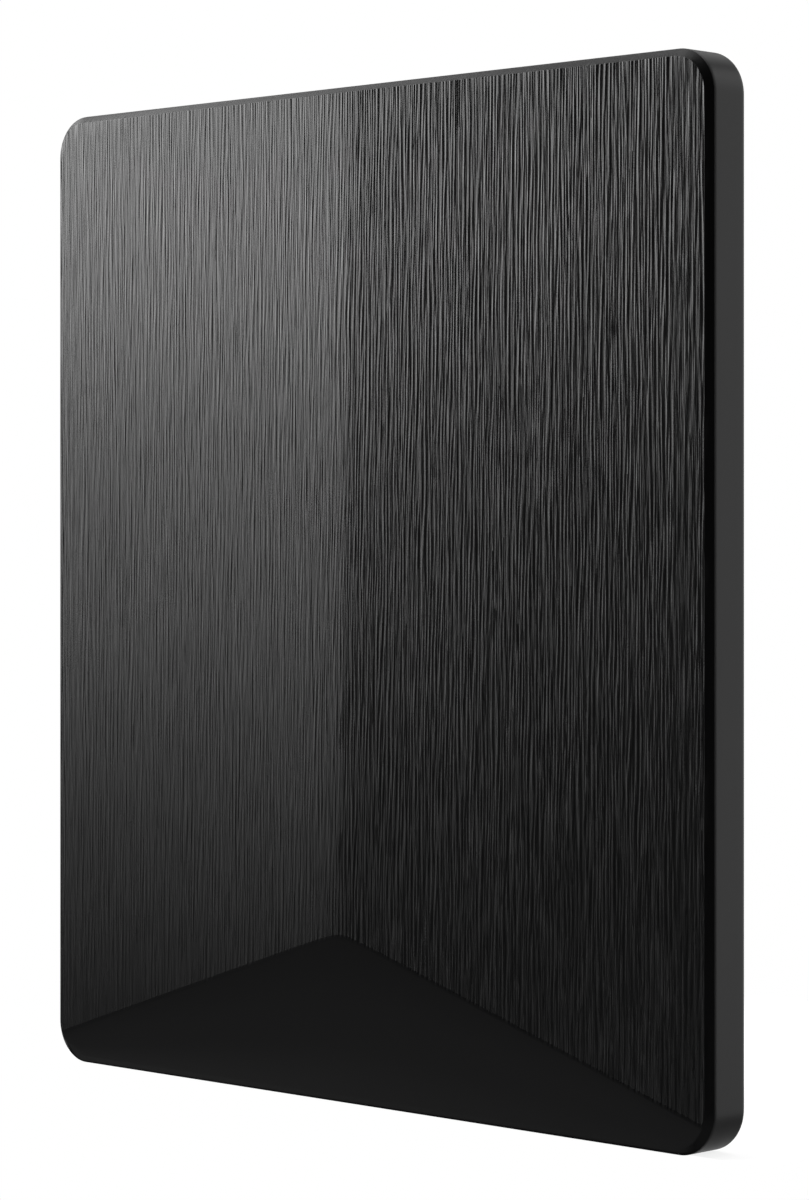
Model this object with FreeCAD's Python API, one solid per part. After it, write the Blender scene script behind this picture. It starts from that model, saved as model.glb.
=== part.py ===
import FreeCAD, Part
import math
import os

from FreeCAD import Vector

# Flat indoor television antenna: a slim upright panel with a shallow roofed front.
# X runs to the right as seen from the front, Y to the back and Z up, in millimetres.
# The origin lies under the middle of the panel, at its bottom edge.

# Panel outline and side wall
WIDTH = 197.0
HEIGHT = 220.0
SIDE_DEPTH = 9.7
CORNER_RADIUS = 9.2

# Roofed front, with rises measured forward from the front edge of the side wall
EDGE_INSET = 1.65
EDGE_RISE = 1.0
EDGE_BEVEL = 0.45
RIDGE_TOP_RISE = 2.75
APEX_RISE = 5.6
APEX_HEIGHT = 37.4
HIP_END_HEIGHT = 6.0

# Walls and fits of the two mouldings
FRONT_WALL = 1.8
SIDE_WALL = 2.0
LEDGE = 0.9
PLATE = 2.0
LIP_WALL = 1.2
LIP_HEIGHT = 2.4
FIT = 0.15

# Screws that join the covers, and their seats
SCREW_INSET = 15.0
SCREW_SHANK_RADIUS = 1.3
SCREW_LENGTH = 6.0
SCREW_HEAD_RADIUS = 2.5
SCREW_HEAD_HEIGHT = 1.7
SCREW_CLEARANCE = 0.2
SEAT_CLEARANCE = 0.4
SEAT_DEPTH = 2.2
SEAT_WALL = 1.3
SEAT_FLOOR = 1.4
BOSS_RADIUS = 3.2

# Forms of a screw, as shares of its head's height, its head's radius and its shank's radius
HEAD_DOME = 0.35
RECESS_DEPTH = 0.6
RECESS_LENGTH = 1.2
RECESS_WIDTH = 0.3
TIP_RADIUS = 0.25

# Keyholes that hang the panel on two wall screws
KEYHOLE_SPACING = 90.0
KEYHOLE_HEIGHT = 182.0
KEYHOLE_RADIUS = 4.5
KEYHOLE_SLOT_WIDTH = 4.6
KEYHOLE_TRAVEL = 9.0

# Bay for the lead, from the socket down to the bottom edge, where a notch lets the lead out
BAY_WIDTH = 30.0
BAY_TOP = 72.0
BAY_CORNER = 3.0
BAY_WALL = 1.5
SOCKET_WALL = 2.0
NOTCH_WIDTH = 7.5
NOTCH_DEPTH = 6.0

# Coaxial socket with a thread of three eighths of an inch
SOCKET_RADIUS = 4.7625
SOCKET_LENGTH = 10.0
SOCKET_DEPTH = 6.2
SOCKET_BORE = 3.4
SOCKET_CHAMFER = 0.4
SHOULDER_RADIUS = 5.2
SHOULDER_CLEARANCE = 0.1
FLANGE_RADIUS = 6.2
FLANGE_HEIGHT = 2.0
INSULATOR_RECESS = 0.6
CONTACT_RADIUS = 1.1
CONTACT_BORE = 0.55
CONTACT_REACH = 8.0
PIN_RADIUS = 0.45
LEG_WIDTH = 1.2
LEG_SPACING = 7.2
LEG_LENGTH = 5.0

# Board with its two screws
BOARD_WIDTH = 26.0
BOARD_THICKNESS = 1.6
BOARD_GAP = 0.3
BOARD_MARGIN = 10.0
BOARD_SCREW_SPACING = 17.0
BOARD_SCREW_OFFSET = 14.0
BOARD_SCREW_LENGTH = 5.4
BOARD_SCREW_RADIUS = 1.1
BOARD_SCREW_HEAD_RADIUS = 2.0
BOARD_SCREW_HEAD_HEIGHT = 1.4
POST_RADIUS = 2.6

# Stamped arms of the dipole, with the stakes and rivets that hold them
SHEET = 0.5
FEED_HEIGHT = 116.0
FEED_GAP = 10.0
TAB_HEIGHT = 14.0
TAB_REACH = 15.0
ARM_REACH = 76.0
ARM_HEIGHT = 108.0
ARM_STRIP = 12.0
STAKE_RADIUS = 1.2
STAKE_HEAD_RADIUS = 2.2
STAKE_HEAD_HEIGHT = 0.8
STAKE_CLEARANCE = 0.1
RIVET_RADIUS = 1.2
RIVET_HEAD_RADIUS = 2.1
RIVET_HEAD_HEIGHT = 0.5
RIVET_CLEARANCE = 0.05

# Two-hole ferrite core and its two windings
CORE_WIDTH = 7.0
CORE_LENGTH = 6.0
CORE_THICKNESS = 3.8
CORE_ROUND = 1.25
CORE_HOLE_RADIUS = 0.9
CORE_HOLE_SPACING = 3.4
CORE_HEIGHT = 99.0
WIRE_RADIUS = 0.25
WIRE_OVERRUN = 1.0
WIRE_BEND = 0.8
WIRE_GAP = 0.75
WINDING_OFFSET = 0.45

# Levels that several pieces share
TOTAL_DEPTH = SIDE_DEPTH + APEX_RISE
REAR = TOTAL_DEPTH / 2
FRONT_EDGE = REAR - SIDE_DEPTH
BOARD_DEPTH = SOCKET_DEPTH + PIN_RADIUS
SHEET_DEPTH = BOARD_DEPTH - SHEET
BOARD_FRONT = BOARD_DEPTH + BOARD_THICKNESS
SEAT_INNER = SEAT_DEPTH + SEAT_FLOOR
FLANGE_BOTTOM = BAY_TOP + SOCKET_WALL
BOARD_BOTTOM = FLANGE_BOTTOM + FLANGE_HEIGHT + BOARD_GAP
BOARD_TOP = FEED_HEIGHT + BOARD_MARGIN
BOARD_SCREW_HEIGHT = BOARD_BOTTOM + BOARD_SCREW_OFFSET
RIVET_X = (FEED_GAP / 2 + BOARD_WIDTH / 2) / 2

# Faces are drawn past the outline by this factor and then trimmed to it
OVERRUN = 1.15

FORWARD = Vector(0, -1, 0)
BACKWARD = Vector(0, 1, 0)
UP = Vector(0, 0, 1)


def inward(depth):
    """Y of a place that lies this far in from the rear face."""
    return REAR - depth


def outline(inset, y):
    """Rounded rectangle of the panel, drawn in by inset all round, at one Y."""
    radius = CORNER_RADIUS - inset
    x = WIDTH / 2 - CORNER_RADIUS
    low = CORNER_RADIUS
    high = HEIGHT - CORNER_RADIUS
    arcs = []
    for turn, (cx, cz) in enumerate([(x, low), (x, high), (-x, high), (-x, low)]):
        points = []
        for step in range(3):
            angle = math.radians(90 * turn - 90 + 45 * step)
            points.append(Vector(cx + radius * math.cos(angle), y, cz + radius * math.sin(angle)))
        arcs.append(points)
    edges = []
    for points, following in zip(arcs, arcs[1:] + arcs[:1]):
        edges.append(Part.Arc(*points).toShape())
        edges.append(Part.LineSegment(points[2], following[0]).toShape())
    return Part.Wire(edges)


def slab(inset, near, far):
    """Prism of the panel's outline between two depths, measured from the rear face."""
    face = Part.Face(outline(inset, inward(near)))
    return face.extrude(FORWARD * (far - near))


def rod(x, z, radius, near, far):
    """Cylinder along Y between two depths."""
    return Part.makeCylinder(radius, far - near, Vector(x, inward(near), z), FORWARD)


def rounded_bar(left, right, low, high, radius, near, far):
    """Block along Y between two depths, with its four long edges rounded."""
    box = Part.makeBox(right - left, far - near, high - low, Vector(left, inward(far), low))
    long_edges = [e for e in box.Edges if abs(e.tangentAt(e.FirstParameter).y) > 0.5]
    return box.makeFillet(radius, long_edges)


def turned(profile, axis_point, axis):
    """Solid of revolution of pairs of radius and distance along the axis."""
    points = [Vector(radius, 0, along) for radius, along in profile]
    face = Part.Face(Part.makePolygon(points + points[:1]))
    solid = face.revolve(Vector(0, 0, 0), UP, 360)
    solid.Placement = FreeCAD.Placement(axis_point, FreeCAD.Rotation(UP, axis))
    return solid


def joined(shapes):
    """One solid from shapes that touch or overlap."""
    return shapes[0].fuse(shapes[1:]).removeSplitter()


def mirrored(places):
    """The places on the right, followed by the same places on the left."""
    return places + [(-x, z) for x, z in places]


# Roofed front

def front_point(x, rise, z):
    """Point that stands forward of the side wall's front edge by rise."""
    return Vector(x, FRONT_EDGE - rise, z)


SIDE_EDGE_X = WIDTH / 2 - EDGE_INSET
TOP_EDGE_Z = HEIGHT - EDGE_INSET
APEX = front_point(0, APEX_RISE, APEX_HEIGHT)
RIDGE_TOP = front_point(0, RIDGE_TOP_RISE, TOP_EDGE_Z)
HIP_END = front_point(SIDE_EDGE_X, EDGE_RISE, HIP_END_HEIGHT)
SIDE_TOP = front_point(SIDE_EDGE_X, EDGE_RISE, TOP_EDGE_Z)


def facet_point(side, across, up):
    """Point of a side facet: across runs from ridge to side edge, up from hip to top edge."""
    ridge = APEX + (RIDGE_TOP - APEX) * up
    edge = HIP_END + (SIDE_TOP - HIP_END) * up
    point = ridge + (edge - ridge) * across
    return Vector(side * point.x, point.y, point.z)


def side_facet(side):
    """Ruled face between the ridge and one side edge, a little twisted because the ridge rises."""
    ridge = Part.LineSegment(facet_point(side, 0, 0), facet_point(side, 0, OVERRUN)).toShape()
    edge = Part.LineSegment(facet_point(side, OVERRUN, 0), facet_point(side, OVERRUN, OVERRUN)).toShape()
    return Part.makeRuledSurface(ridge, edge)


def lower_facet():
    """Flat triangular face under the two hips, drawn on past the bottom edge."""
    slope = (APEX_RISE - EDGE_RISE) / (APEX_HEIGHT - HIP_END_HEIGHT)
    right_hip = facet_point(1, OVERRUN, 0)
    left_hip = facet_point(-1, OVERRUN, 0)
    low = min(0, right_hip.z) - EDGE_INSET
    low_rise = EDGE_RISE + slope * (low - HIP_END_HEIGHT)
    right_low = front_point(right_hip.x, low_rise, low)
    left_low = front_point(left_hip.x, low_rise, low)
    return Part.Face(Part.makePolygon([APEX, right_hip, right_low, left_low, left_hip, APEX]))


def behind_front(drop):
    """Space behind the front faces once they are moved back by drop."""
    faces = [side_facet(1), side_facet(-1), lower_facet()]
    blocks = [face.extrude(BACKWARD * (2 * TOTAL_DEPTH)) for face in faces]
    space = blocks[0].fuse(blocks[1:])
    space.translate(BACKWARD * drop)
    return space


def drawn_out(point, inset, y):
    """Place straight out from a point of the front's inner edge, at an inset from the outline and a Y."""
    reach_x = WIDTH / 2 - CORNER_RADIUS
    core_x = max(-reach_x, min(reach_x, point.x))
    core_z = max(CORNER_RADIUS, min(HEIGHT - CORNER_RADIUS, point.z))
    way = Vector(point.x - core_x, 0, point.z - core_z)
    return Vector(core_x, y, core_z) + way.normalize() * (CORNER_RADIUS - inset)


def edge_outside(inner, inset, y):
    """Line or arc that runs beside a stretch of the front's inner edge, further out."""
    first, last = inner.ParameterRange
    start, middle, end = [drawn_out(inner.valueAt(first + (last - first) * share), inset, y)
                          for share in (0, 0.5, 1)]
    if (middle - (start + end) * 0.5).Length < FIT / 100:
        return Part.LineSegment(start, end).toShape()
    return Part.Arc(start, middle, end).toShape()


def outer_body():
    """Solid form of the panel: side walls, bevel, sloping edge band and the three front faces."""
    crown = slab(EDGE_INSET, SIDE_DEPTH, 2 * TOTAL_DEPTH).common(behind_front(0))
    fronts = [f for f in crown.Faces if f.normalAt(*middle_of(f)).y < -0.5]
    edges = [e for face in fronts for e in face.Edges]
    inner = [e for e in edges if sum(e.isSame(other) for other in edges) == 1]
    faces = list(fronts)
    for edge in inner:
        band_edge = edge_outside(edge, EDGE_BEVEL, FRONT_EDGE)
        wall_edge = edge_outside(edge, 0, FRONT_EDGE + EDGE_BEVEL)
        faces.append(Part.makeRuledSurface(edge, band_edge))
        faces.append(Part.makeRuledSurface(band_edge, wall_edge))
        faces.append(wall_edge.extrude(BACKWARD * (SIDE_DEPTH - EDGE_BEVEL)))
    faces.append(Part.Face(outline(0, REAR)))
    shell = Part.makeShell(faces)
    shell.sewShape()
    return Part.makeSolid(shell)


def middle_of(face):
    """Surface parameters of the middle of a face."""
    u0, u1, v0, v1 = face.ParameterRange
    return (u0 + u1) / 2, (v0 + v1) / 2


# Covers

def screw_places():
    """Places of the case screws: both sides, at the bottom, the middle and the top."""
    x = WIDTH / 2 - SCREW_INSET
    return mirrored([(x, SCREW_INSET), (x, HEIGHT / 2), (x, HEIGHT - SCREW_INSET)])


def front_cover():
    """Moulded tray with the roofed front, a ledge for the rear cover and six screw bosses."""
    body = outer_body()
    hollow = slab(SIDE_WALL, -PLATE, 2 * TOTAL_DEPTH).common(behind_front(FRONT_WALL))
    rebate = slab(SIDE_WALL - LEDGE, -PLATE, PLATE)
    tray = body.cut([hollow, rebate])
    root = behind_front(FRONT_WALL / 2)
    bosses = []
    pilots = []
    for x, z in screw_places():
        bosses.append(rod(x, z, BOSS_RADIUS, SEAT_INNER, TOTAL_DEPTH).common(root))
        pilots.append(rod(x, z, SCREW_SHANK_RADIUS, SEAT_INNER, SEAT_DEPTH + SCREW_LENGTH + FIT))
    notch = Part.makeBox(NOTCH_WIDTH, NOTCH_DEPTH + PLATE, SIDE_WALL + 2 * FIT,
                         Vector(-NOTCH_WIDTH / 2, inward(NOTCH_DEPTH), -FIT))
    return tray.fuse(bosses).cut(pilots + [notch])


def keyhole(centre_x):
    """Round entry for a wall screw's head, with a narrower slot up from it for the shank."""
    slot = KEYHOLE_SLOT_WIDTH / 2
    top = KEYHOLE_HEIGHT + KEYHOLE_TRAVEL
    return joined([
        rod(centre_x, KEYHOLE_HEIGHT, KEYHOLE_RADIUS, -PLATE, 2 * PLATE),
        rod(centre_x, top, slot, -PLATE, 2 * PLATE),
        Part.makeBox(KEYHOLE_SLOT_WIDTH, 3 * PLATE, KEYHOLE_TRAVEL,
                     Vector(centre_x - slot, inward(2 * PLATE), KEYHOLE_HEIGHT)),
    ])


def lead_bay():
    """Walls of the bay, down to the front cover's inside, and the spaces that open it and let the socket in."""
    half = BAY_WIDTH / 2
    below = -2 * BAY_CORNER
    collar = rounded_bar(-half - BAY_WALL, half + BAY_WALL, below, FLANGE_BOTTOM,
                         BAY_CORNER + BAY_WALL, PLATE, TOTAL_DEPTH)
    inside = slab(SIDE_WALL + FIT, PLATE, TOTAL_DEPTH).common(behind_front(FRONT_WALL + FIT))
    opening = rounded_bar(-half, half, below, BAY_TOP, BAY_CORNER, -PLATE, 2 * TOTAL_DEPTH)
    hole = Part.makeCylinder(SHOULDER_RADIUS + SHOULDER_CLEARANCE, SOCKET_WALL,
                             Vector(0, inward(SOCKET_DEPTH), BAY_TOP), UP)
    return collar.common(inside), [opening, hole]


def rear_cover():
    """Flat plate with a locating lip, screw seats, keyholes, posts and the bay for the lead."""
    solid = [slab(SIDE_WALL - LEDGE + FIT, 0, PLATE)]
    lip = SIDE_WALL + FIT
    ring = slab(lip, PLATE, PLATE + LIP_HEIGHT).cut(slab(lip + LIP_WALL, PLATE, PLATE + LIP_HEIGHT))
    solid.append(ring)
    cuts = []
    for x, z in screw_places():
        seat_radius = SCREW_HEAD_RADIUS + SEAT_CLEARANCE
        solid.append(rod(x, z, seat_radius + SEAT_WALL, PLATE, SEAT_INNER))
        cuts.append(rod(x, z, seat_radius, -PLATE, SEAT_DEPTH))
        cuts.append(rod(x, z, SCREW_SHANK_RADIUS + SCREW_CLEARANCE, 0, SEAT_INNER + PLATE))
    cuts += [keyhole(x) for x in (-KEYHOLE_SPACING / 2, KEYHOLE_SPACING / 2)]
    walls, spaces = lead_bay()
    solid.append(walls)
    cuts += spaces
    for x, z in stake_places():
        solid.append(rod(x, z, POST_RADIUS, PLATE, SHEET_DEPTH))
        solid.append(rod(x, z, STAKE_RADIUS, SHEET_DEPTH, BOARD_DEPTH))
        solid.append(rod(x, z, STAKE_HEAD_RADIUS, BOARD_DEPTH, BOARD_DEPTH + STAKE_HEAD_HEIGHT))
    for x, z in board_screw_places():
        solid.append(rod(x, z, POST_RADIUS, PLATE, BOARD_DEPTH))
        pilot_end = BOARD_FRONT - BOARD_SCREW_LENGTH - FIT
        cuts.append(rod(x, z, BOARD_SCREW_RADIUS, pilot_end, BOARD_DEPTH))
    return joined(solid).cut(cuts)


# Screws

def pan_screw(head_radius, head_height, shank_radius, length, place, way):
    """Pan-head tapping screw with a cross recess; way points from the head to the tip."""
    dome = head_height * HEAD_DOME
    profile = [(0, -head_height), (head_radius - dome, -head_height), (head_radius, -head_height + dome),
               (head_radius, 0), (shank_radius, 0), (shank_radius, length - shank_radius),
               (shank_radius * TIP_RADIUS, length), (0, length)]
    screw = turned(profile, Vector(0, 0, 0), UP)
    bar = head_radius * RECESS_LENGTH
    blade = head_radius * RECESS_WIDTH
    recess = head_height * RECESS_DEPTH
    for size_x, size_y in ((bar, blade), (blade, bar)):
        corner = Vector(-size_x / 2, -size_y / 2, -head_height)
        screw = screw.cut(Part.makeBox(size_x, size_y, recess, corner))
    screw.Placement = FreeCAD.Placement(place, FreeCAD.Rotation(UP, way))
    return screw


def case_screws():
    """Six screws from the back into the bosses of the front cover."""
    return Part.makeCompound([
        pan_screw(SCREW_HEAD_RADIUS, SCREW_HEAD_HEIGHT, SCREW_SHANK_RADIUS, SCREW_LENGTH,
                  Vector(x, inward(SEAT_DEPTH), z), FORWARD)
        for x, z in screw_places()
    ])


def board_screw_places():
    """Places of the two screws that hold the board."""
    return mirrored([(BOARD_SCREW_SPACING / 2, BOARD_SCREW_HEIGHT)])


def board_screws():
    """Two screws from the front of the board into posts of the rear cover."""
    return Part.makeCompound([
        pan_screw(BOARD_SCREW_HEAD_RADIUS, BOARD_SCREW_HEAD_HEIGHT, BOARD_SCREW_RADIUS, BOARD_SCREW_LENGTH,
                  Vector(x, inward(BOARD_FRONT), z), BACKWARD)
        for x, z in board_screw_places()
    ])


# Dipole

def stake_places():
    """Places of the plastic stakes, on the outer strip of each arm."""
    x = ARM_REACH - ARM_STRIP / 2
    rise = ARM_HEIGHT / 2 - ARM_STRIP
    return mirrored([(x, FEED_HEIGHT - rise), (x, FEED_HEIGHT + rise)])


def sheet_face(points):
    """Face on the level of the sheet's rear side."""
    corners = [Vector(x, inward(SHEET_DEPTH), FEED_HEIGHT + z) for x, z in points]
    return Part.Face(Part.makePolygon(corners + corners[:1]))


def radiator(side):
    """Flared arm of the dipole, stamped as a loop with a feed tab over the board."""
    tab = TAB_HEIGHT / 2
    tall = ARM_HEIGHT / 2
    start = FEED_GAP / 2
    flare = sheet_face([(TAB_REACH, -tab), (ARM_REACH, -tall), (ARM_REACH, tall), (TAB_REACH, tab)])
    whole = sheet_face([(start, -tab), (TAB_REACH, -tab), (ARM_REACH, -tall),
                        (ARM_REACH, tall), (TAB_REACH, tab), (start, tab)])
    arm = whole.extrude(FORWARD * SHEET)
    window = flare.makeOffset2D(-ARM_STRIP).extrude(FORWARD * SHEET)
    holes = [rod(x, z, STAKE_RADIUS + STAKE_CLEARANCE, SHEET_DEPTH, BOARD_DEPTH)
             for x, z in stake_places() if x > 0]
    holes.append(rod(RIVET_X, FEED_HEIGHT, RIVET_RADIUS + RIVET_CLEARANCE, SHEET_DEPTH, BOARD_DEPTH))
    arm = arm.cut([window] + holes)
    if side < 0:
        arm = arm.mirror(Vector(0, 0, 0), Vector(1, 0, 0))
    return arm


def feed_rivets():
    """Two rivets that clamp the feed tabs to the board."""
    rivets = []
    for x, z in mirrored([(RIVET_X, FEED_HEIGHT)]):
        back = rod(x, z, RIVET_HEAD_RADIUS, SHEET_DEPTH - RIVET_HEAD_HEIGHT, SHEET_DEPTH)
        shank = rod(x, z, RIVET_RADIUS, SHEET_DEPTH, BOARD_FRONT)
        front = rod(x, z, RIVET_HEAD_RADIUS, BOARD_FRONT, BOARD_FRONT + RIVET_HEAD_HEIGHT)
        rivets.append(joined([back, shank, front]))
    return Part.makeCompound(rivets)


# Board and balun

def balun_board():
    """Printed board from the socket up to the feed point, with its screw and rivet holes."""
    half = BOARD_WIDTH / 2
    board = rounded_bar(-half, half, BOARD_BOTTOM, BOARD_TOP, BOARD_THICKNESS / 2, BOARD_DEPTH, BOARD_FRONT)
    holes = [rod(x, z, BOARD_SCREW_RADIUS + SCREW_CLEARANCE, BOARD_DEPTH, BOARD_FRONT)
             for x, z in board_screw_places()]
    holes += [rod(x, z, RIVET_RADIUS + RIVET_CLEARANCE, BOARD_DEPTH, BOARD_FRONT)
              for x, z in mirrored([(RIVET_X, FEED_HEIGHT)])]
    return board.cut(holes)


def balun_core():
    """Ferrite block with rounded sides and two holes for the windings."""
    half = CORE_WIDTH / 2
    front = BOARD_FRONT + CORE_THICKNESS
    block = Part.makeBox(CORE_WIDTH, CORE_THICKNESS, CORE_LENGTH, Vector(-half, inward(front), CORE_HEIGHT))
    upright = [e for e in block.Edges if abs(e.tangentAt(e.FirstParameter).z) > 0.5]
    block = block.makeFillet(CORE_ROUND, upright)
    y = inward(BOARD_FRONT + CORE_THICKNESS / 2)
    holes = [Part.makeCylinder(CORE_HOLE_RADIUS, CORE_LENGTH, Vector(x, y, CORE_HEIGHT), UP)
             for x in (-CORE_HOLE_SPACING / 2, CORE_HOLE_SPACING / 2)]
    return block.cut(holes)


def winding(way, shift):
    """Wire that goes through both holes and back to the board; way is the side of its loop."""
    half = CORE_HOLE_SPACING / 2
    y = inward(BOARD_FRONT + CORE_THICKNESS / 2 + shift)
    pad = inward(BOARD_FRONT)
    middle = CORE_HEIGHT + CORE_LENGTH / 2
    loop_z = middle + way * (CORE_LENGTH / 2 + WIRE_OVERRUN)
    tail = WIRE_OVERRUN + half + WIRE_GAP
    exit_z = middle - way * (CORE_LENGTH / 2 + tail)
    bend = WIRE_BEND
    slant = bend * (1 - math.sqrt(0.5))
    edges = []
    for x in (-half, half):
        foot = Part.LineSegment(Vector(x, pad, exit_z - way * bend), Vector(x, y + bend, exit_z - way * bend))
        turn = Part.Arc(Vector(x, y + bend, exit_z - way * bend),
                        Vector(x, y + slant, exit_z - way * (bend - slant)),
                        Vector(x, y, exit_z))
        run = Part.LineSegment(Vector(x, y, exit_z), Vector(x, y, loop_z))
        edges += [foot.toShape(), turn.toShape(), run.toShape()]
    loop = Part.Arc(Vector(-half, y, loop_z), Vector(0, y, loop_z + way * half), Vector(half, y, loop_z))
    edges.append(loop.toShape())
    path = Part.Wire(Part.sortEdges(edges)[0])
    start = Vector(-half, pad, exit_z - way * bend)
    ring = Part.Wire(Part.makeCircle(WIRE_RADIUS, start, FORWARD))
    return path.makePipeShell([ring], True, True)


# Socket

def socket_body():
    """Threaded barrel with a flange whose flat side rests on the rear cover, and two legs on the board."""
    tip = BAY_TOP - SOCKET_LENGTH
    top = FLANGE_BOTTOM + FLANGE_HEIGHT
    axis = Vector(0, inward(SOCKET_DEPTH), 0)
    chamfer = SOCKET_CHAMFER
    body = turned([(0, tip), (SOCKET_RADIUS - chamfer, tip), (SOCKET_RADIUS, tip + chamfer),
                   (SOCKET_RADIUS, BAY_TOP), (SHOULDER_RADIUS, BAY_TOP), (SHOULDER_RADIUS, FLANGE_BOTTOM),
                   (FLANGE_RADIUS, FLANGE_BOTTOM), (FLANGE_RADIUS, top), (0, top)], axis, UP)
    flat = inward(PLATE)
    body = body.cut(Part.makeBox(2 * FLANGE_RADIUS, FLANGE_RADIUS, FLANGE_HEIGHT,
                                 Vector(-FLANGE_RADIUS, flat, FLANGE_BOTTOM)))
    legs = []
    for x in (-LEG_SPACING / 2, LEG_SPACING / 2):
        corner = Vector(x - LEG_WIDTH / 2, inward(BOARD_DEPTH), top)
        legs.append(Part.makeBox(LEG_WIDTH, LEG_WIDTH, BOARD_GAP + LEG_LENGTH, corner))
    bore = Part.makeCylinder(SOCKET_BORE, top - tip, Vector(0, axis.y, tip), UP)
    return joined([body] + legs).cut(bore)


def socket_insulator():
    """Plastic plug that fills the barrel and carries the contact."""
    tip = BAY_TOP - SOCKET_LENGTH + INSULATOR_RECESS
    top = FLANGE_BOTTOM + FLANGE_HEIGHT
    axis = Vector(0, inward(SOCKET_DEPTH), 0)
    shoulder = tip + CONTACT_RADIUS
    plug = turned([(CONTACT_BORE, tip), (SOCKET_BORE, tip), (SOCKET_BORE, top), (PIN_RADIUS, top),
                   (PIN_RADIUS, shoulder + CONTACT_REACH), (CONTACT_RADIUS, shoulder + CONTACT_REACH),
                   (CONTACT_RADIUS, shoulder), (CONTACT_BORE, shoulder)], axis, UP)
    return plug


def socket_contact():
    """Sprung tube that takes the lead's inner wire, with a pin that runs along the board."""
    shoulder = BAY_TOP - SOCKET_LENGTH + INSULATOR_RECESS + CONTACT_RADIUS
    end = shoulder + CONTACT_REACH
    axis = Vector(0, inward(SOCKET_DEPTH), 0)
    tail = BOARD_BOTTOM + LEG_LENGTH
    return turned([(CONTACT_BORE, shoulder), (CONTACT_RADIUS, shoulder), (CONTACT_RADIUS, end),
                   (PIN_RADIUS, end), (PIN_RADIUS, tail), (0, tail), (0, end - CONTACT_RADIUS),
                   (CONTACT_BORE, end - CONTACT_RADIUS)], axis, UP)


def pieces():
    """Every piece of the antenna under its own name."""
    return {
        "front_cover": front_cover(),
        "rear_cover": rear_cover(),
        "case_screws": case_screws(),
        "radiator_left": radiator(-1),
        "radiator_right": radiator(1),
        "feed_rivets": feed_rivets(),
        "balun_board": balun_board(),
        "board_screws": board_screws(),
        "balun_core": balun_core(),
        "balun_primary": winding(-1, WINDING_OFFSET),
        "balun_secondary": winding(1, -WINDING_OFFSET),
        "socket_body": socket_body(),
        "socket_insulator": socket_insulator(),
        "socket_contact": socket_contact(),
    }


os.makedirs("parts", exist_ok=True)
for name, shape in pieces().items():
    shape.exportStep("parts/" + name + ".step")
    print(name, "solids", len(shape.Solids), "valid", shape.isValid(), "volume", round(shape.Volume, 2))
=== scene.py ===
import math

import bpy
import numpy as np
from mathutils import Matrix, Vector


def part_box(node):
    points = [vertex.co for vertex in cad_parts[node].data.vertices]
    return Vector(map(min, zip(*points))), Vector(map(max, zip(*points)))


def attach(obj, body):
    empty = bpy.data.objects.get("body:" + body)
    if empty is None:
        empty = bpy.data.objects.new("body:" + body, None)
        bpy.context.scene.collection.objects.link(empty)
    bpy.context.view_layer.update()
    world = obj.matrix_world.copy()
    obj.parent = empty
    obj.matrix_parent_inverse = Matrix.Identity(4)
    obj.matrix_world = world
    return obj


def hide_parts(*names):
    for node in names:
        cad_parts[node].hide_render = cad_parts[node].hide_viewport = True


# Looks of a flat indoor television antenna, in metres: X to the right of the front, Y to the back, Z up.

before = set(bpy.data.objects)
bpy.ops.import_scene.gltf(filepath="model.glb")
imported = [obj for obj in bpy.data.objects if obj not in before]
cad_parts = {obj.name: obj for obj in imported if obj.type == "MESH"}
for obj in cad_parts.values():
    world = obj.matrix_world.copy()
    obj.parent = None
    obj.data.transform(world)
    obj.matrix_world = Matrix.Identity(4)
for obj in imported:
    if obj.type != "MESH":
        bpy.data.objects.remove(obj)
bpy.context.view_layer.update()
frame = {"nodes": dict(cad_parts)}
cover_low, cover_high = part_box("front_cover")
socket_low, socket_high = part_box("socket_body")

# Front cover: outline, edge band and roofed front
WIDTH = cover_high.x - cover_low.x
HEIGHT = cover_high.z - cover_low.z
REAR = cover_high.y
SIDE_DEPTH = 0.0097
FRONT_EDGE = REAR - SIDE_DEPTH
CORNER_RADIUS = 0.0092
EDGE_INSET = 0.00165
EDGE_RISE = 0.001
BAND_END = 0.00045
BEVEL_FRONT = 0.0007
BEVEL_SIDE = 0.0006
BEVEL_STEPS = 4
CREASE = 0.00004
RIDGE_TOP_RISE = 0.00275
APEX_RISE = FRONT_EDGE - cover_low.y
APEX_HEIGHT = 0.0374
HIP_END_HEIGHT = 0.006
RIDGE_ROUND = 0.0006
APEX_ROUND = 0.003
APEX_REACH = 0.012
HIP_ROUND = 0.00006
HIP_MARGIN = 0.0003

# Front cover: walls, ledge, notch and bosses at the back
FRONT_WALL = 0.0018
SIDE_WALL = 0.002
LEDGE = 0.0009
PLATE = 0.002
REAR_ROUND = 0.0003
ROUND_STEPS = 3
WALL_MARGIN = 0.0005
NOTCH_WIDTH = 0.0075
NOTCH_DEPTH = 0.006
SCREW_INSET = 0.015
BOSS_RADIUS = 0.0032
BOSS_NEAR = 0.0036
PILOT_RADIUS = 0.0013
PILOT_DEPTH = 0.00835
BOSS_CORE = 0.00006
BOSS_STEPS = 24

# Moulded strokes of the two side facets: widths, length and height, and how the height changes over the front
STROKE_SEED = 11
STROKE_FINE = 0.00012
STROKE_COARSE = 0.00036
STROKE_LENGTH = 0.0035
STROKE_SOFTNESS = 0.6
STROKE_HEIGHT = 0.00005
STROKE_DEEPENING = 0.25
STROKE_SIDE_GAIN = 0.26
STROKE_SIDE_EASE = 0.006
STROKE_EDGE_GAIN = 0.6

# Sideways wander of the strokes, and the steps of the grid that both are drawn on
STROKE_WANDER = 0.00025
WANDER_FINE = 0.00124
WANDER_COARSE = 0.02
WANDER_LENGTH = 0.007
NOISE_STEP_ALONG = 0.0009
NOISE_STEP_ACROSS = 0.00008

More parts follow.
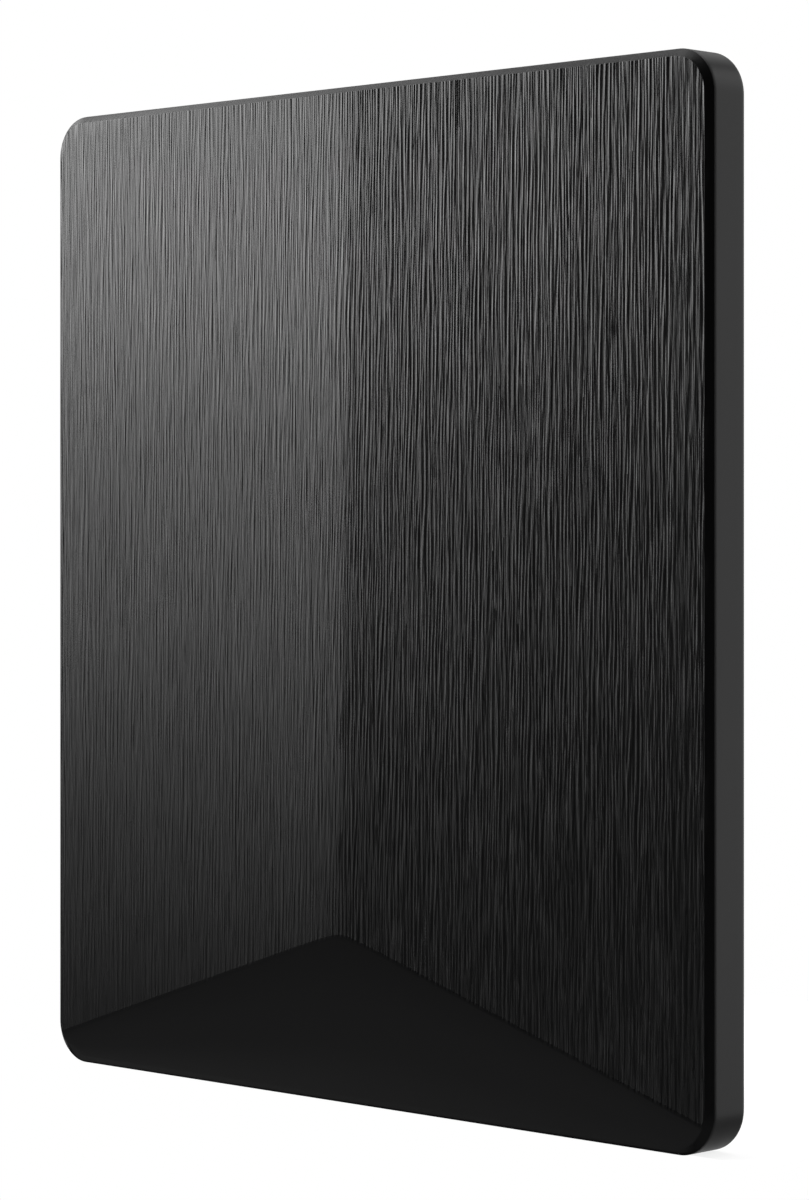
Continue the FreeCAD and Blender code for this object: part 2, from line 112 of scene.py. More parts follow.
# Painted shade in the grooves between the strokes: a duller finish there darkens them, more so downwards and
# on the right facet
GROOVE_SHADE = 0.62
GROOVE_DEEPENING = 0.35
GROOVE_SIDE_POWER = 0.7
GROOVE_SHARPNESS = 1.7

# Fineness of the cover's mesh
COLUMNS = 980
CORNER_COLUMNS = 26
FACET_ROWS = 58
LOWER_ROWS = 4
SHARP_ANGLE = 30

# Values worked out from these
SIDE_EDGE_X = WIDTH / 2 - EDGE_INSET
TOP_EDGE_Z = HEIGHT - EDGE_INSET
INNER_RADIUS = CORNER_RADIUS - EDGE_INSET
CORNER_START = WIDTH / 2 - CORNER_RADIUS
LOWER_SLOPE = (APEX_RISE - EDGE_RISE) / (APEX_HEIGHT - HIP_END_HEIGHT)


# Meshes

def grid_quads(rows, columns, wrap_rows=False, wrap_columns=False):
    """Corner numbers of the quads of a grid of points laid row by row; a wrapped way closes on its start."""
    index = np.arange(rows * columns).reshape(rows, columns)
    if wrap_rows:
        index = np.vstack([index, index[:1]])
    if wrap_columns:
        index = np.hstack([index, index[:, :1]])
    return np.stack([index[:-1, :-1], index[:-1, 1:], index[1:, 1:], index[1:, :-1]], axis=-1).reshape(-1, 4)


def piece_from(name, points, faces):
    """Object from an array of points and a list of arrays of faces, smooth but for its sharp edges."""
    mesh = bpy.data.meshes.new(name)
    mesh.vertices.add(len(points))
    mesh.vertices.foreach_set("co", np.ascontiguousarray(points, dtype=np.float32).ravel())
    corners = np.concatenate([group.ravel() for group in faces])
    sizes = np.concatenate([np.full(len(group), group.shape[1]) for group in faces])
    mesh.loops.add(len(corners))
    mesh.loops.foreach_set("vertex_index", corners.astype(np.int32))
    mesh.polygons.add(len(sizes))
    mesh.polygons.foreach_set("loop_start", (np.cumsum(sizes) - sizes).astype(np.int32))
    mesh.update(calc_edges=True)
    mesh.shade_smooth()
    mesh.set_sharp_from_angle(angle=math.radians(SHARP_ANGLE))
    piece = bpy.data.objects.new(name, mesh)
    bpy.context.collection.objects.link(piece)
    return piece


# Front cover

def hip_height(x):
    """Height of the hip line: straight from the apex to the hip's end, rounded over the middle."""
    across = np.sqrt(x ** 2 + APEX_ROUND ** 2) / SIDE_EDGE_X
    return APEX_HEIGHT + (HIP_END_HEIGHT - APEX_HEIGHT) * across


def front_rise(x, z):
    """Height of the front over the side wall's front edge.

    A side facet is straight from ridge to side edge at each level, and the lower facet is flat. The lower
    of the two counts, with the crease eased by half the root of their squared difference plus a softness.
    The ridge is narrowly rounded, and more roundly towards the apex.
    """
    hip = hip_height(x)
    near_apex = np.exp(-np.maximum(z - hip, 0) / APEX_REACH)
    across = np.sqrt(x ** 2 + (RIDGE_ROUND + (APEX_ROUND - RIDGE_ROUND) * near_apex) ** 2) / SIDE_EDGE_X
    level = (z - hip) / (TOP_EDGE_Z - hip)
    ridge = APEX_RISE + (RIDGE_TOP_RISE - APEX_RISE) * level
    facet = ridge + (EDGE_RISE - ridge) * across
    lower = EDGE_RISE + LOWER_SLOPE * (z - HIP_END_HEIGHT)
    return (facet + lower - np.sqrt((facet - lower) ** 2 + HIP_ROUND ** 2)) / 2


def smooth_noise(fine, coarse, length, random):
    """Random values on a grid over the front, of widths between two limits and smooth over a length along.

    The values' spectrum is multiplied by a bell for the length, and by the difference of two bells across.
    """
    shape = (int(HEIGHT / NOISE_STEP_ALONG) + 2, int(WIDTH / NOISE_STEP_ACROSS) + 2)
    spectrum = np.fft.rfft2(random.standard_normal(shape))
    along = 2 * math.pi * np.fft.fftfreq(shape[0], NOISE_STEP_ALONG)[:, None]
    across = 2 * math.pi * np.fft.rfftfreq(shape[1], NOISE_STEP_ACROSS)[None, :]
    keep = np.exp(-(across * fine) ** 2 / 2) - np.exp(-(across * coarse) ** 2 / 2)
    values = np.fft.irfft2(spectrum * keep * np.exp(-(along * length) ** 2 / 2), shape)
    return values / values.std()


def sampled(values, x, z):
    """Values of a grid at places between its points, by the weights of the four nearest."""
    column = (x + WIDTH / 2) / NOISE_STEP_ACROSS
    row = z / NOISE_STEP_ALONG
    left = np.clip(column.astype(int), 0, values.shape[1] - 2)
    below = np.clip(row.astype(int), 0, values.shape[0] - 2)
    across = column - left
    up = row - below
    low = values[below, left] * (1 - across) + values[below, left + 1] * across
    high = values[below + 1, left] * (1 - across) + values[below + 1, left + 1] * across
    return low * (1 - up) + high * up


def evened(values):
    """Noise whose waves across are brought to about one height: nearly the cosine of its phase.

    Leaving out the negative half of the spectrum gives the noise an imaginary part a quarter wave behind it.
    The real part over the size of both is that cosine; a softness added to the size calms its jumps.
    """
    spectrum = 2 * np.fft.fft(values, axis=1)
    spectrum[:, values.shape[1] // 2:] = 0
    turning = np.fft.ifft(spectrum, axis=1)
    return turning.real / np.hypot(np.abs(turning), STROKE_SOFTNESS)


def stroke_relief(x, z):
    """Relief of the moulded strokes, from -1 to 1: long narrow waves, read at places that wander sideways."""
    random = np.random.default_rng(STROKE_SEED)
    strokes = evened(smooth_noise(STROKE_FINE, STROKE_COARSE, STROKE_LENGTH, random))
    wander = smooth_noise(WANDER_FINE, WANDER_COARSE, WANDER_LENGTH, random)
    shifted = x + STROKE_WANDER * sampled(wander, x, z)
    return sampled(strokes, shifted, z)


def front_grid():
    """Columns and rows of the front inside its edge band, and the shares of stroked relief and finish there.

    Columns are even between the corners and follow equal turns within them. Rows divide each column from
    the bottom edge to the hip line, and from there to the top edge, with rows close by the line. The relief
    starts a margin above it and the finish two, so the strokes' sloping ends stay dull.
    """
    turn = np.linspace(0, math.pi / 2, CORNER_COLUMNS + 1)[1:]
    corner = CORNER_START + INNER_RADIUS * np.sin(turn)
    x = np.concatenate([-corner[::-1], np.linspace(-CORNER_START, CORNER_START, COLUMNS), corner])
    beyond = np.clip(np.abs(x) - CORNER_START, 0, INNER_RADIUS)
    fall = INNER_RADIUS - np.sqrt(INNER_RADIUS ** 2 - beyond ** 2)
    bottom = EDGE_INSET + fall
    top = TOP_EDGE_Z - fall
    split = bottom + np.maximum(hip_height(x) - bottom, HIP_ROUND)
    below = split - np.minimum(HIP_MARGIN, (split - bottom) / 2)
    relief_start = split + HIP_MARGIN
    finish_start = relief_start + HIP_MARGIN
    above = finish_start + HIP_MARGIN
    lower_share = np.linspace(0, 1, LOWER_ROWS)[:, None]
    upper_share = np.linspace(0, 1, FACET_ROWS)[:, None]
    lower_rows = bottom + (below - bottom) * lower_share
    upper_rows = above + (top - above) * upper_share
    z = np.vstack([lower_rows, split, relief_start, finish_start, upper_rows])
    relief_share = np.clip((z - relief_start) / HIP_MARGIN, 0, 1)
    finish_share = np.clip((z - finish_start) / HIP_MARGIN, 0, 1)
    return np.broadcast_to(x, z.shape), z, relief_share, finish_share


def loop_of(grid):
    """Values around the rim of a grid, anticlockwise as seen from the front."""
    return np.concatenate([grid[0, :-1], grid[:-1, -1], grid[-1, :0:-1], grid[:0:-1, 0]])


def rounded_corner(start, corner, end, steps):
    """Points of a soft corner: the curve that leaves and arrives along the corner's two sides."""
    share = np.linspace(0, 1, steps)[:, None]
    start, corner, end = np.array(start), np.array(corner), np.array(end)
    return start * (1 - share) ** 2 + 2 * corner * share * (1 - share) + end * share ** 2


def stroked_front():
    """Columns, rows and even rise of the front, its points, and the share of stroked finish at each point.

    The front is sunk by the strokes' depth, so that their crests come up to the roofed surface. They are
    deeper on the right facet, more so towards its edge, and deepen downwards. The stroked finish fades in
    the grooves, by a power of how low they lie, as painted shade that darkens them, more so downwards and
    on the right facet.
    """
    x, z, relief_share, finish_share = front_grid()
    relief = stroke_relief(x, z)
    side = STROKE_SIDE_GAIN * x / np.hypot(x, STROKE_SIDE_EASE)
    gain = 1 + side + STROKE_EDGE_GAIN * np.maximum(x, 0) / WIDTH
    down = (1 - z / HEIGHT) ** 2
    depth = STROKE_HEIGHT * gain * (1 + STROKE_DEEPENING * down)
    rise = front_rise(x, z) - depth
    points = np.stack([x, FRONT_EDGE - rise - depth * relief * relief_share, z], axis=-1)
    # Painted shade: the grooves get less of the glossy stroked finish, so they look darker whatever the light
    shade = np.minimum(GROOVE_SHADE * gain ** GROOVE_SIDE_POWER * (1 + GROOVE_DEEPENING * down), 1)
    stroked = finish_share * (1 - shade * ((1 - relief) / 2) ** GROOVE_SHARPNESS)
    return x, z, rise, points.reshape(-1, 3), stroked


def edge_loops(rim_x, rim_z, rim_rise):
    """Loops of points that run on from the front's rim to the inside of the front.

    Each lies at its own inset from the outline, whose corners it follows, and at its own depth: band, bevel,
    side wall, rear rim, rebate, ledge and inner wall. Those at the back stop short at the notch.
    """
    core_x = np.clip(rim_x, -CORNER_START, CORNER_START)
    core_z = np.clip(rim_z, CORNER_RADIUS, HEIGHT - CORNER_RADIUS)
    way_x = (rim_x - core_x) / INNER_RADIUS
    way_z = (rim_z - core_z) / INNER_RADIUS
    notch = np.where((np.abs(rim_x) < NOTCH_WIDTH / 2) & (rim_z < HEIGHT / 2), NOTCH_DEPTH, 0)

    # Pairs of inset and depth behind the front edge; a share of the rim's rise lifts the band's own loops
    bevel = rounded_corner((BEVEL_FRONT, 0), (0, 0), (0, BEVEL_SIDE), BEVEL_STEPS)
    section = [(EDGE_INSET - CREASE, 0), *bevel]
    shares = [max(0, (inset - BAND_END) / (EDGE_INSET - BAND_END)) for inset, back in section]
    round_start = SIDE_DEPTH - REAR_ROUND
    back_round = rounded_corner((0, round_start), (0, SIDE_DEPTH), (REAR_ROUND, SIDE_DEPTH), ROUND_STEPS)
    wall = [(0, BEVEL_SIDE + WALL_MARGIN), (0, round_start - WALL_MARGIN)]
    rebate = SIDE_WALL - LEDGE
    ledge_depth = SIDE_DEPTH - PLATE
    behind = [*wall, *back_round, (rebate, SIDE_DEPTH), (rebate, ledge_depth), (SIDE_WALL, ledge_depth)]
    places = []
    for (inset, back), share in zip(section, shares):
        places.append((inset, FRONT_EDGE - rim_rise * share + back))
    for inset, back in behind:
        places.append((inset, np.minimum(FRONT_EDGE + back, REAR - notch)))
    loops = []
    for inset, y in places:
        reach = CORNER_RADIUS - inset
        loops.append(np.stack([core_x + way_x * reach, y, core_z + way_z * reach], axis=-1))
    inner_reach = CORNER_RADIUS - SIDE_WALL
    inside_x = core_x + way_x * inner_reach
    inside_z = core_z + way_z * inner_reach
    inside_y = FRONT_EDGE - front_rise(inside_x, inside_z) + FRONT_WALL
    loops.append(np.stack([inside_x, inside_y, inside_z], axis=-1))
    return loops


def cover_shell():
    """Points and faces of the moulded shell, and the share of stroked finish at each point of its front.

    The front's grid comes first, then the loops from its rim, and last a hub behind the apex, from which a
    fan closes the inside. The share of stroked finish is lowered in the grooves as painted shade.
    """
    x, z, rise, front, stroked = stroked_front()
    rim = loop_of(np.arange(x.size).reshape(x.shape))
    loops = edge_loops(loop_of(x), loop_of(z), loop_of(rise))
    hub = [(0, FRONT_EDGE - APEX_RISE + FRONT_WALL, APEX_HEIGHT)]
    count = len(rim)
    numbers = np.vstack([rim, x.size + np.arange(len(loops) * count).reshape(-1, count)])
    numbers = np.hstack([numbers, numbers[:, :1]])
    around = np.stack([numbers[:-1, :-1], numbers[1:, :-1], numbers[1:, 1:], numbers[:-1, 1:]], axis=-1)
    hub_numbers = np.full(count, x.size + len(loops) * count)
    fan = np.stack([numbers[-1, :-1], hub_numbers, numbers[-1, 1:]], axis=-1)
    faces = [grid_quads(*x.shape), around.reshape(-1, 4), fan]
    return np.vstack([front, *loops, hub]), faces, stroked


def turned_surface(profile, steps):
    """Carries a closed profile of pairs of radius and distance once round an axis.

    Gives back the points' places across, sideways and along the axis, and the quads between them.
    """
    radius, along = np.array(profile).T
    turn = np.linspace(0, 2 * math.pi, steps, endpoint=False)[:, None]
    across = radius * np.cos(turn)
    sideways = radius * np.sin(turn)
    along = np.broadcast_to(along, across.shape)
    return across, sideways, along, grid_quads(steps, len(profile), wrap_rows=True, wrap_columns=True)


def cover_bosses(first):
    """Points and faces of six bosses on the cover's inside, numbered on from the first number given.

    Each is the section of a stub with a blind pilot hole, turned about Y.
    """
    x = WIDTH / 2 - SCREW_INSET
    places = [(side * x, z) for side in (-1, 1) for z in (SCREW_INSET, HEIGHT / 2, HEIGHT - SCREW_INSET)]
    points = []
    faces = []
    for place_x, place_z in places:
        root = FRONT_EDGE - front_rise(np.full(1, place_x), np.full(1, place_z))[0] + FRONT_WALL / 2
        near = REAR - BOSS_NEAR
        pilot = REAR - PILOT_DEPTH
        profile = [(BOSS_CORE, root), (BOSS_RADIUS, root), (BOSS_RADIUS, near), (PILOT_RADIUS, near),
                   (PILOT_RADIUS, pilot), (BOSS_CORE, pilot)]
        across, sideways, along, quads = turned_surface(profile, BOSS_STEPS)
        points.append(np.stack([place_x + across, along, place_z + sideways], axis=-1).reshape(-1, 3))
        faces.append(quads + first)
        first += across.size
    return points, faces


def make_front_cover():
    """Front cover as one mesh, with the share of stroked finish kept as an attribute for its material."""
    points, faces, stroked = cover_shell()
    boss_points, boss_faces = cover_bosses(len(points))
    points = np.vstack([points, *boss_points])
    cover = piece_from("front_cover_moulding", points, faces + boss_faces)
    strokes = np.zeros(len(points), dtype=np.float32)
    strokes[:stroked.size] = stroked.ravel()
    # The strokes attribute: share of the glossy stroked finish, lowered in the grooves as painted shade
    cover.data.attributes.new("strokes", "FLOAT", "POINT").data.foreach_set("value", strokes)
    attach(cover, "root")
    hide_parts("front_cover")
    return cover


# Socket

SOCKET_RADIUS = 0.0047625
SOCKET_BORE = 0.0034
SOCKET_LENGTH = 0.01
SOCKET_DEPTH = 0.0062
SOCKET_CHAMFER = 0.0004
SHOULDER_RADIUS = 0.0052
SOCKET_WALL = 0.002
FLANGE_RADIUS = 0.0062
FLANGE_HEIGHT = 0.002
THREAD_PITCH = 0.0254 / 32
THREAD_DEPTH = 0.00038
THREAD_RUN_OUT = 0.0012
THREAD_STEPS = 10
SOCKET_STEPS = 72
LEG_WIDTH = 0.0012
LEG_SPACING = 0.0072
LEG_DROP = 0.00045


def make_socket():
    """Threaded socket: a closed section turned about the axis, its barrel cut by a helical groove.

    The groove's depth follows a wave of one thread's pitch along the axis, moved on by one pitch a turn.
    The flange is held back to its flat on the rear cover, and two square legs run up the board.
    """
    tip = socket_low.z
    barrel_top = tip + SOCKET_LENGTH
    flange_bottom = barrel_top + SOCKET_WALL
    top = flange_bottom + FLANGE_HEIGHT
    rows = int(SOCKET_LENGTH / THREAD_PITCH * THREAD_STEPS)
    barrel = [(SOCKET_RADIUS, z) for z in np.linspace(tip + SOCKET_CHAMFER, barrel_top, rows)]
    profile = [(SOCKET_BORE, tip), (SOCKET_RADIUS - SOCKET_CHAMFER, tip), *barrel,
               (SHOULDER_RADIUS, barrel_top), (SHOULDER_RADIUS, flange_bottom),
               (FLANGE_RADIUS, flange_bottom), (FLANGE_RADIUS, top), (SOCKET_BORE, top)]
    across, sideways, along, quads = turned_surface(profile, SOCKET_STEPS)
    radius = np.hypot(across, sideways)
    turn = np.arctan2(sideways, across) / (2 * math.pi)
    wave = 0.5 - 0.5 * np.cos(2 * math.pi * ((along - tip) / THREAD_PITCH - turn))
    on_barrel = np.isclose(radius, SOCKET_RADIUS) & (along > tip + SOCKET_CHAMFER / 2)
    run_out = np.clip((barrel_top - along) / THREAD_RUN_OUT, 0, 1)
    lead_in = np.clip((along - tip) / THREAD_PITCH, 0, 1)
    cut = np.where(on_barrel, THREAD_DEPTH * wave * run_out * lead_in, 0)
    scale = (radius - cut) / radius
    axis_y = REAR - SOCKET_DEPTH
    on_flange = radius > (SHOULDER_RADIUS + FLANGE_RADIUS) / 2
    y = axis_y + sideways * scale
    y = np.where(on_flange, np.minimum(y, REAR - PLATE), y)
    body = np.stack([across * scale, y, along], axis=-1).reshape(-1, 3)
    quads = quads[:, ::-1]
    points = [body]
    faces = [quads]
    unit = np.array([(a, b, c) for c in (0, 1) for b in (0, 1) for a in (-0.5, 0.5)])
    sides = np.array([(0, 2, 3, 1), (4, 5, 7, 6), (0, 1, 5, 4), (2, 6, 7, 3), (0, 4, 6, 2), (1, 3, 7, 5)])
    leg_length = socket_high.z - top
    leg_front = axis_y - LEG_DROP
    for side in (-1, 1):
        leg = unit * (LEG_WIDTH, LEG_WIDTH, leg_length) + (side * LEG_SPACING / 2, leg_front, top)
        faces.append(sides + len(body) + (len(points) - 1) * len(unit))
        points.append(leg)
    socket = piece_from("socket_threaded", np.vstack(points), faces)
    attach(socket, "root")
    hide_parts("socket_body")
    return socket


# Finishes

# Metals: the two colours they vary between, roughness, stretch of the grain, and strength of its bump
EVEN_GRAIN = (900, 900, 900)
METALS = {
    "black_zinc": ((0.035, 0.035, 0.038), (0.075, 0.075, 0.08), 0.3, EVEN_GRAIN, 0.25),
    "rolled_aluminium": ((0.62, 0.62, 0.63), (0.74, 0.74, 0.75), 0.26, (60, 900, 2600), 0.2),
    "tinned_brass": ((0.6, 0.55, 0.42), (0.72, 0.66, 0.5), 0.26, EVEN_GRAIN, 0.2),
    "copper_wire": ((0.5, 0.17, 0.06), (0.66, 0.26, 0.1), 0.22, EVEN_GRAIN, 0.15),
    "bronze": ((0.62, 0.43, 0.16), (0.74, 0.54, 0.24), 0.24, EVEN_GRAIN, 0.15),
    "nickel": ((0.4, 0.385, 0.36), (0.48, 0.465, 0.44), 0.32, (300, 300, 900), 0.02),
}

# Numbers of a Mix node's sockets for colours
MIX_LOW = 6
MIX_HIGH = 7
MIX_RESULT = 2


class Value:
    """One shader socket; arithmetic on it adds the maths nodes to its tree."""

    def __init__(self, tree, socket):
        self.tree = tree
        self.socket = socket

    def node(self, kind, settings, inputs, output=0):
        """Adds any node: its settings first, then its inputs as numbers or links. Gives back one output."""
        node = self.tree.nodes.new(kind)
        for key, setting in settings.items():
            setattr(node, key, setting)
        for key, entry in inputs.items():
            if isinstance(entry, Value):
                self.tree.links.new(entry.socket, node.inputs[key])
            else:
                node.inputs[key].default_value = entry
        return Value(self.tree, node.outputs[output])

    def maths(self, operation, first, second):
        return self.node("ShaderNodeMath", {"operation": operation}, {0: first, 1: second})

    def __add__(self, other):
        return self.maths("ADD", self, other)

    def __radd__(self, other):
        return self.maths("ADD", other, self)

    def __sub__(self, other):
        return self.maths("SUBTRACT", self, other)

    def __rsub__(self, other):
        return self.maths("SUBTRACT", other, self)

    def __mul__(self, other):
        return self.maths("MULTIPLY", self, other)

    def __rmul__(self, other):
        return self.maths("MULTIPLY", other, self)

    def stretched(self, x, y, z):
        """These coordinates, each way multiplied by its own number."""
        return self.node("ShaderNodeVectorMath", {"operation": "MULTIPLY"}, {0: self, 1: (x, y, z)})

    def noise(self, scale, detail=2.0):
        """Soft noise at these coordinates, from 0 to 1."""
        return self.node("ShaderNodeTexNoise", {}, {"Vector": self, "Scale": scale, "Detail": detail})

    def blend(self, low, high):
        """Colour between two, by this value."""
        colours = {0: self, MIX_LOW: (*low, 1), MIX_HIGH: (*high, 1)}
        return self.node("ShaderNodeMix", {"data_type": "RGBA"}, colours, MIX_RESULT)

    def ramp(self, start, end, low, high, kind="LINEAR"):
        """Value that goes from low to high while this one goes from start to end."""
        limits = {"From Min": start, "From Max": end, "To Min": low, "To Max": high}
        return self.node("ShaderNodeMapRange", {"interpolation_type": kind}, {"Value": self, **limits})

    def bump(self, strength, distance):
        """Normal of this height."""
        return self.node("ShaderNodeBump", {}, {"Strength": strength, "Distance": distance, "Height": self})


class Finish:
    """A named material: constants go on the shader's sockets, and varying values are linked to them."""

    def __init__(self, name):
        self.material = bpy.data.materials.new(name)
        self.material.use_nodes = True
        self.tree = self.material.node_tree
        self.shader = self.tree.nodes["Principled BSDF"]
        self.place = Value(self.tree, self.tree.nodes.new("ShaderNodeTexCoord").outputs["Object"])

    def set(self, **sockets):
        """Sets sockets by their names, with underscores for spaces."""
        for key, entry in sockets.items():
            socket = self.shader.inputs[key.replace("_", " ")]
            if isinstance(entry, Value):
                self.tree.links.new(entry.socket, socket)
            else:
                socket.default_value = entry
        return self

    def plain(self):
        """What the finish's own shader gives."""
        return Value(self.tree, self.shader.outputs[0])

    def show(self, surface):
        """Shows this surface in place of the finish's own shader."""
        self.tree.links.new(surface.socket, self.tree.nodes["Material Output"].inputs["Surface"])

    def on(self, *pieces):
        """Puts the finish on pieces in place of what they carry."""
        for piece in pieces:
            piece.data.materials.clear()
            piece.data.materials.append(self.material)


def front_plastic():
    """Black moulded plastic: dull and even on the plain faces, glossier and finely lined on the strokes."""
    finish = Finish("front_plastic")
    place = finish.place
    grain = place.noise(scale=5200, detail=3.0)
    lines = place.stretched(x=2600, y=0, z=85).noise(scale=1.0, detail=1.0)
    patch = place.noise(scale=26)
    black = patch.blend(low=(0.0012, 0.0012, 0.0013), high=(0.002, 0.002, 0.0021))
    stroked = place.node("ShaderNodeBsdfPrincipled", {}, {
        "Base Color": black,
        "Roughness": 0.22 + lines * 0.06 + patch * 0.03,
        "Specular IOR Level": 0.5,
        "Normal": lines.bump(strength=1.0, distance=0.00012),
    })
    finish.set(
        Base_Color=black,
        Roughness=0.32 + grain * 0.1 + patch * 0.03,
        Specular_IOR_Level=0.055,
        Normal=grain.bump(strength=0.2, distance=0.00002),
    )
    # The strokes attribute mixes in the glossy stroked shader; where it is lowered in the grooves, the duller
    # plain shader paints shade there
    strokes = place.node("ShaderNodeAttribute", {"attribute_name": "strokes"}, {}, "Fac")
    finish.show(place.node("ShaderNodeMixShader", {}, {0: strokes, 1: finish.plain(), 2: stroked}))
    return finish


def rear_plastic():
    """Black moulded plastic with an even spark-eroded grain."""
    finish = Finish("rear_plastic")
    grain = finish.place.noise(scale=2600, detail=3.0)
    patch = finish.place.noise(scale=20)
    return finish.set(
        Base_Color=patch.blend(low=(0.006, 0.006, 0.0063), high=(0.009, 0.009, 0.0094)),
        Roughness=0.46 + grain * 0.14,
        Specular_IOR_Level=0.4,
        Normal=grain.bump(strength=0.4, distance=0.00008),
    )


def metal(name):
    """Bare or plated metal: its colour varies in soft clouds, and its gloss and surface by its grain."""
    low, high, rough, stretch, strength = METALS[name]
    finish = Finish(name)
    grain = finish.place.stretched(*stretch).noise(scale=1.0, detail=4.0)
    cloud = finish.place.noise(scale=240)
    return finish.set(
        Base_Color=cloud.blend(low, high),
        Metallic=1.0,
        Roughness=rough + grain * 0.14,
        Normal=grain.bump(strength, distance=0.00002),
    )


def board_lacquer():
    """Green lacquer over glass cloth: a faint weave of two crossed lines."""
    finish = Finish("board_lacquer")
    warp = finish.place.stretched(x=2400, y=0, z=300).noise(scale=1.0)
    weft = finish.place.stretched(x=300, y=0, z=2400).noise(scale=1.0)
    weave = warp * weft
    return finish.set(
        Base_Color=weave.blend(low=(0.012, 0.085, 0.03), high=(0.03, 0.17, 0.06)),
        Roughness=0.28 + weave * 0.2,
        Normal=weave.bump(strength=0.3, distance=0.00003),
    )


def ferrite():
    """Sintered ferrite: dark grey with fine pale grains."""
    finish = Finish("ferrite")
    grain = finish.place.noise(scale=4200, detail=4.0)
    return finish.set(
        Base_Color=grain.blend(low=(0.018, 0.018, 0.02), high=(0.06, 0.06, 0.063)),
        Roughness=0.5 + grain * 0.25,
        Normal=grain.bump(strength=0.5, distance=0.00004),
    )


def natural_plastic():
    """Milky unfilled plastic of the socket's insulator."""
    finish = Finish("natural_plastic")
    cloud = finish.place.noise(scale=900)
    return finish.set(
        Base_Color=cloud.blend(low=(0.62, 0.61, 0.57), high=(0.74, 0.73, 0.69)),
        Roughness=0.36 + cloud * 0.12,
        Normal=cloud.bump(strength=0.15, distance=0.00003),
    )


def dress(cover, socket):
    """Gives every piece its finish."""
    node = frame["nodes"]
    front_plastic().on(cover)
    rear_plastic().on(node["rear_cover"])
    metal("black_zinc").on(node["case_screws"], node["board_screws"])
    metal("rolled_aluminium").on(node["radiator_left"], node["radiator_right"])
    metal("tinned_brass").on(node["feed_rivets"])
    metal("copper_wire").on(node["balun_primary"], node["balun_secondary"])
    metal("bronze").on(node["socket_contact"])
    metal("nickel").on(socket)
    board_lacquer().on(node["balun_board"])
    ferrite().on(node["balun_core"])
    natural_plastic().on(node["socket_insulator"])


# Stage, light and camera

MIDDLE = Vector((0, 0, HEIGHT / 2))
WHITE = (1, 1, 1, 1)
FLOOR_HALF_WIDTH = 0.11
FLOOR_DEPTH = 0.22
FLOOR_MIDDLE = (0, 0.06, 0)
FLOOR_COLOUR = (0.86, 0.86, 0.86)
FLOOR_GLOW = 0.76
SHADOW_NEAR = 0.09
SHADOW_FAR = 0.15
AMBIENT = 0.22
BACK_START = -0.1
BACK_FULL = 0.5
BACK_GLOW = 0.2


def ray_kinds(value):
    """Three values, each 1 for its kind of ray: from the camera, mirrored, or passed through a clear body."""
    path = value.tree.nodes.new("ShaderNodeLightPath")
    kinds = ("Is Camera Ray", "Is Glossy Ray", "Is Transmission Ray")
    return [Value(value.tree, path.outputs[kind]) for kind in kinds]


def make_floor():
    """Pale floor from the antenna backwards, for its shadow, lifted towards white where it is seen.

    The lift is full beyond the shadow's far distance and least within its near one.
    """
    points = np.array([(-FLOOR_HALF_WIDTH, 0, 0), (FLOOR_HALF_WIDTH, 0, 0),
                       (FLOOR_HALF_WIDTH, FLOOR_DEPTH, 0), (-FLOOR_HALF_WIDTH, FLOOR_DEPTH, 0)])
    floor = piece_from("floor", points, [np.arange(len(points))[None, :]])
    finish = Finish("floor_paint")
    finish.set(Base_Color=(*FLOOR_COLOUR, 1), Roughness=0.8, Specular_IOR_Level=0.1)
    seen, mirrored, passed = ray_kinds(finish.place)
    glow = finish.place.node("ShaderNodeEmission", {}, {"Color": WHITE, "Strength": 1.0})
    ends = {0: finish.place, 1: FLOOR_MIDDLE}
    away = finish.place.node("ShaderNodeVectorMath", {"operation": "DISTANCE"}, ends, "Value")
    share = (seen + mirrored + passed) * away.ramp(SHADOW_NEAR, SHADOW_FAR, FLOOR_GLOW, 1.0)
    finish.show(finish.place.node("ShaderNodeMixShader", {}, {0: share, 1: finish.plain(), 2: glow}))
    finish.on(floor)


def light_world():
    """White where it is seen, grey for soft light; mirrored rays find it pale behind and dark in front."""
    world = bpy.data.worlds.new("studio")
    world.use_nodes = True
    tree = world.node_tree
    way = Value(tree, tree.nodes.new("ShaderNodeTexCoord").outputs["Generated"])
    seen, mirrored, passed = ray_kinds(way)
    backwards = way.node("ShaderNodeSeparateXYZ", {}, {0: way}, "Y")
    behind = backwards.ramp(BACK_START, BACK_FULL, 0.0, BACK_GLOW, "SMOOTHSTEP")
    white = seen + passed + mirrored * behind
    plain = 1 - (seen + passed + mirrored)
    strength = white + plain * AMBIENT
    background = tree.nodes["Background"]
    background.inputs["Color"].default_value = WHITE
    tree.links.new(strength.socket, background.inputs["Strength"])
    bpy.context.scene.world = world


def softbox(name, left, up, distance, width, height, glow):
    """Area lamp aimed at the panel's middle.

    Its place is given by degrees left of the front and above the middle, and its light by its radiance.
    """
    turn = math.radians(left)
    lift = math.radians(up)
    ahead = distance * math.cos(lift)
    place = MIDDLE + Vector((-ahead * math.sin(turn), -ahead * math.cos(turn), distance * math.sin(lift)))
    lamp = bpy.data.lights.new(name, "AREA")
    lamp.shape = "RECTANGLE"
    lamp.size = width
    lamp.size_y = height
    lamp.energy = glow * math.pi * width * height
    holder = bpy.data.objects.new(name, lamp)
    holder.location = place
    holder.rotation_euler = (MIDDLE - place).to_track_quat("-Z", "Y").to_euler()
    bpy.context.collection.objects.link(holder)


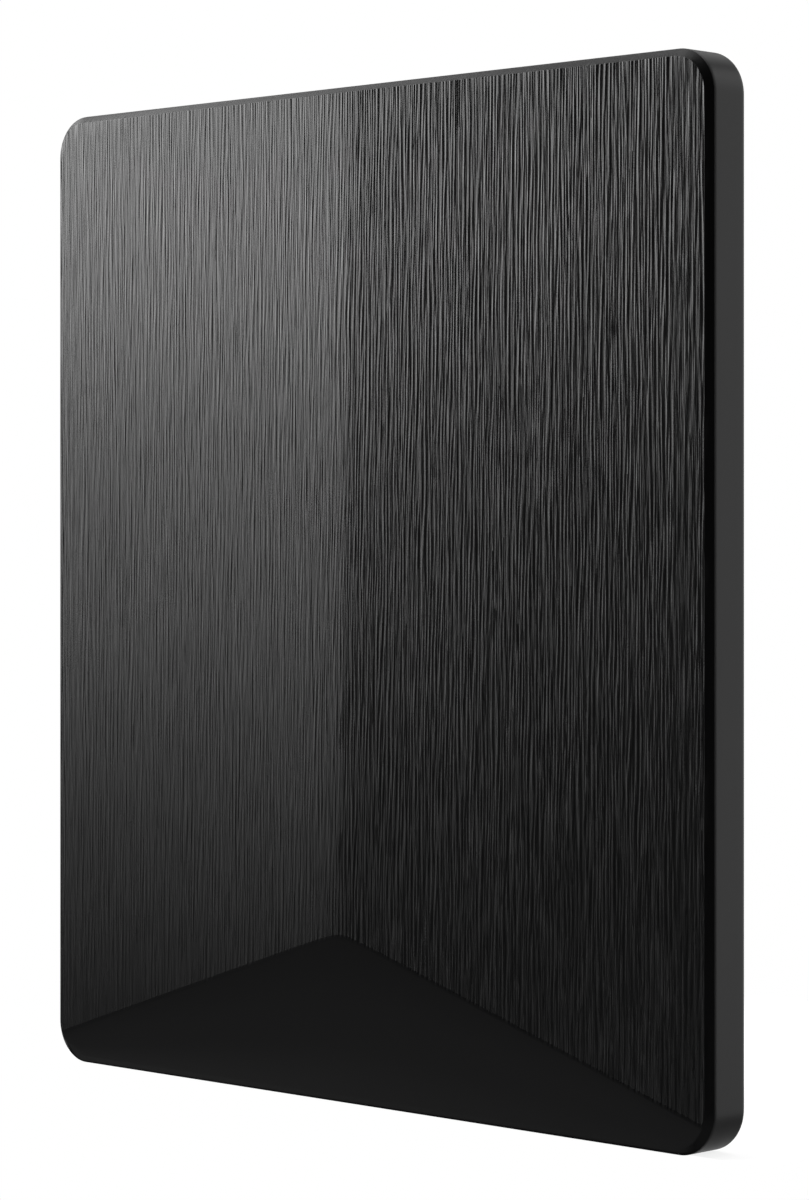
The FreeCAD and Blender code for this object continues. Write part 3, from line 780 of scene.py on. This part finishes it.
def light_studio():
    """A wide softbox on the left that fades downwards, cards all round, and a fill for the back."""
    softbox("left_softbox", left=72, up=28, distance=1.3, width=1.44, height=1.1, glow=5.5)
    softbox("left_softbox_middle", left=72, up=1, distance=1.3, width=1.44, height=0.18, glow=1.65)
    softbox("left_softbox_foot", left=72, up=-6, distance=1.3, width=1.44, height=0.14, glow=0.45)
    softbox("low_card", left=45, up=-32, distance=1.3, width=1.1, height=0.4, glow=2.1)
    softbox("front_card", left=-16, up=-3, distance=1.3, width=0.4, height=0.4, glow=0.9)
    softbox("front_low_card", left=-28, up=-44, distance=1.3, width=1.5, height=1.4, glow=1.0)
    softbox("left_card", left=114, up=38, distance=1.3, width=0.5, height=0.7, glow=1.6)
    softbox("top_card", left=48, up=66, distance=1.4, width=1.0, height=0.4, glow=12.0)
    softbox("crown_card", left=205, up=68, distance=1.4, width=1.0, height=0.5, glow=7.0)
    softbox("right_card", left=208, up=9, distance=1.4, width=1.2, height=1.6, glow=4.5)
    softbox("side_card", left=270, up=10, distance=1.4, width=0.5, height=0.9, glow=3.0)
    softbox("back_fill", left=165, up=40, distance=1.5, width=0.9, height=0.6, glow=1.2)


# Camera at the photograph's place: level, turned to the left, its frame shifted down

CAMERA_PLACE = (0.554162, -0.562321, 0.126779)
CAMERA_TURN = 0.7672
IMAGE_HEIGHT = 1200
FOCAL_PIXELS = 3654
HORIZON_PIXELS = 517.4
SENSOR = 36.0
CLIP_START = 0.01


def place_camera():
    """Level camera whose lens and shift put the photograph's focal length and horizon in the frame."""
    lens = bpy.data.cameras.new("camera")
    lens.sensor_width = SENSOR
    lens.lens = SENSOR * FOCAL_PIXELS / IMAGE_HEIGHT
    lens.shift_y = HORIZON_PIXELS / IMAGE_HEIGHT - 0.5
    lens.clip_start = CLIP_START
    camera = bpy.data.objects.new("camera", lens)
    camera.location = CAMERA_PLACE
    camera.rotation_euler = (math.pi / 2, 0, CAMERA_TURN)
    bpy.context.collection.objects.link(camera)
    bpy.context.scene.camera = camera


dress(make_front_cover(), make_socket())
make_floor()
light_world()
light_studio()
place_camera()
bpy.context.scene.view_settings.view_transform = "Standard"
